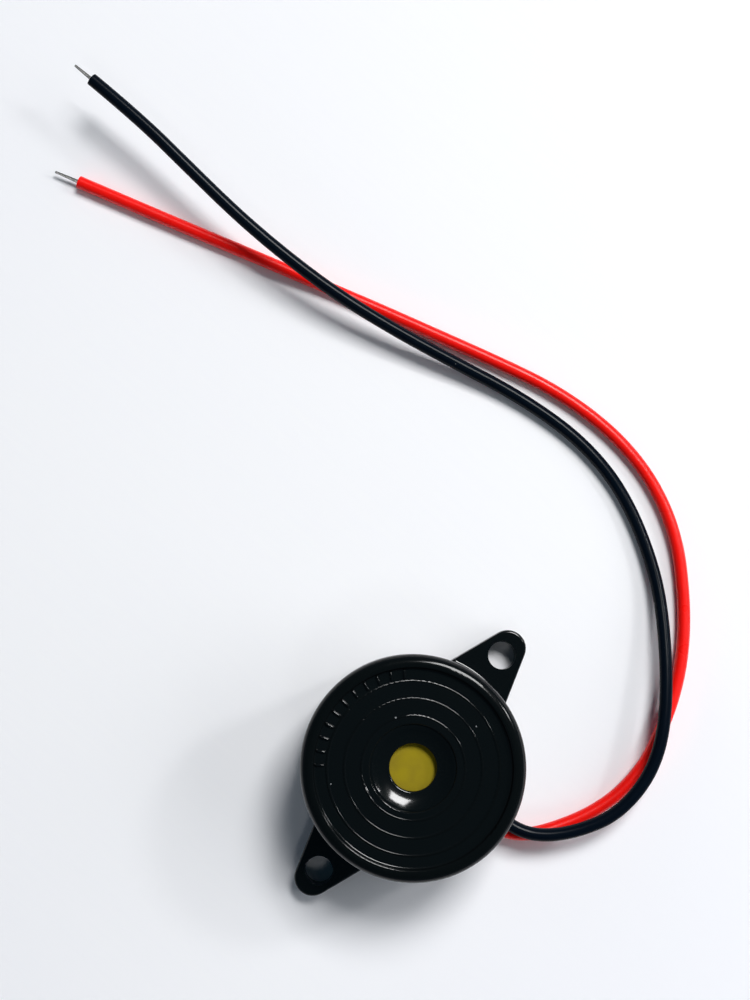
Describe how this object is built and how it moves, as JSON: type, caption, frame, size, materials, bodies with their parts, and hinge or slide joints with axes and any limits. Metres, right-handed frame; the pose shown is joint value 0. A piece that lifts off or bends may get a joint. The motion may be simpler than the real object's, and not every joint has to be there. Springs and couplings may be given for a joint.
{
  "type": "piezo buzzer",
  "caption": "Round black piezo buzzer: ridged front with a brass plate behind the sound hole, screw ears, and a red and a black lead with bare tips",
  "frame": {"origin": "Centre of the round can's base, on the surface that it stands on.", "axes": "+Z points out of the sound hole, +X runs along the line of the two ears, and the leads leave the can on the -Y side."},
  "size_m": [0.0602, 0.0979, 0.012],
  "materials": {
    "case": "black moulded plastic, satin gloss with fine dust",
    "plate_brass": "rolled brass sheet, dull",
    "disc_ceramic": "fired piezo ceramic, matte",
    "silver": "fired silver film, satin",
    "silicone": "white silicone bead",
    "board": "phenolic paper board",
    "component_black": "moulded epoxy",
    "ferrite": "ferrite, matte",
    "copper_wire": "enamelled copper wire",
    "resistor_body": "lacquered body",
    "thin_wire": "thin insulated wire",
    "lead_red": "soft wire insulation, smooth",
    "lead_black": "soft wire insulation, smooth",
    "tinned_metal": "tinned copper and solder"
  },
  "bodies": {
    "root": {"housing": "case", "back_cover": "case", "brass_plate": "plate_brass", "ceramic_disc": "disc_ceramic", "main_electrode": "silver", "feedback_electrode": "silver", "bond_ring": "silicone", "circuit_board": "board", "transistor_body": "component_black", "transistor_legs": "tinned_metal", "choke_core": "ferrite", "choke_winding": "copper_wire", "choke_legs": "tinned_metal", "bias_resistor": "resistor_body", "feedback_resistor": "resistor_body", "discharge_resistor": "resistor_body", "bias_resistor_legs": "tinned_metal", "feedback_resistor_legs": "tinned_metal", "discharge_resistor_legs": "tinned_metal", "ground_wire": "thin_wire", "main_wire": "thin_wire", "feedback_wire": "thin_wire", "disc_solder": "tinned_metal", "board_solder": "tinned_metal", "red_lead": "lead_red", "red_lead_tail": "lead_red", "black_lead": "lead_black", "black_lead_tail": "lead_black", "red_lead_tip": "tinned_metal", "black_lead_tip": "tinned_metal", "red_lead_core": "tinned_metal", "black_lead_core": "tinned_metal"}
  },
  "joints": []
}
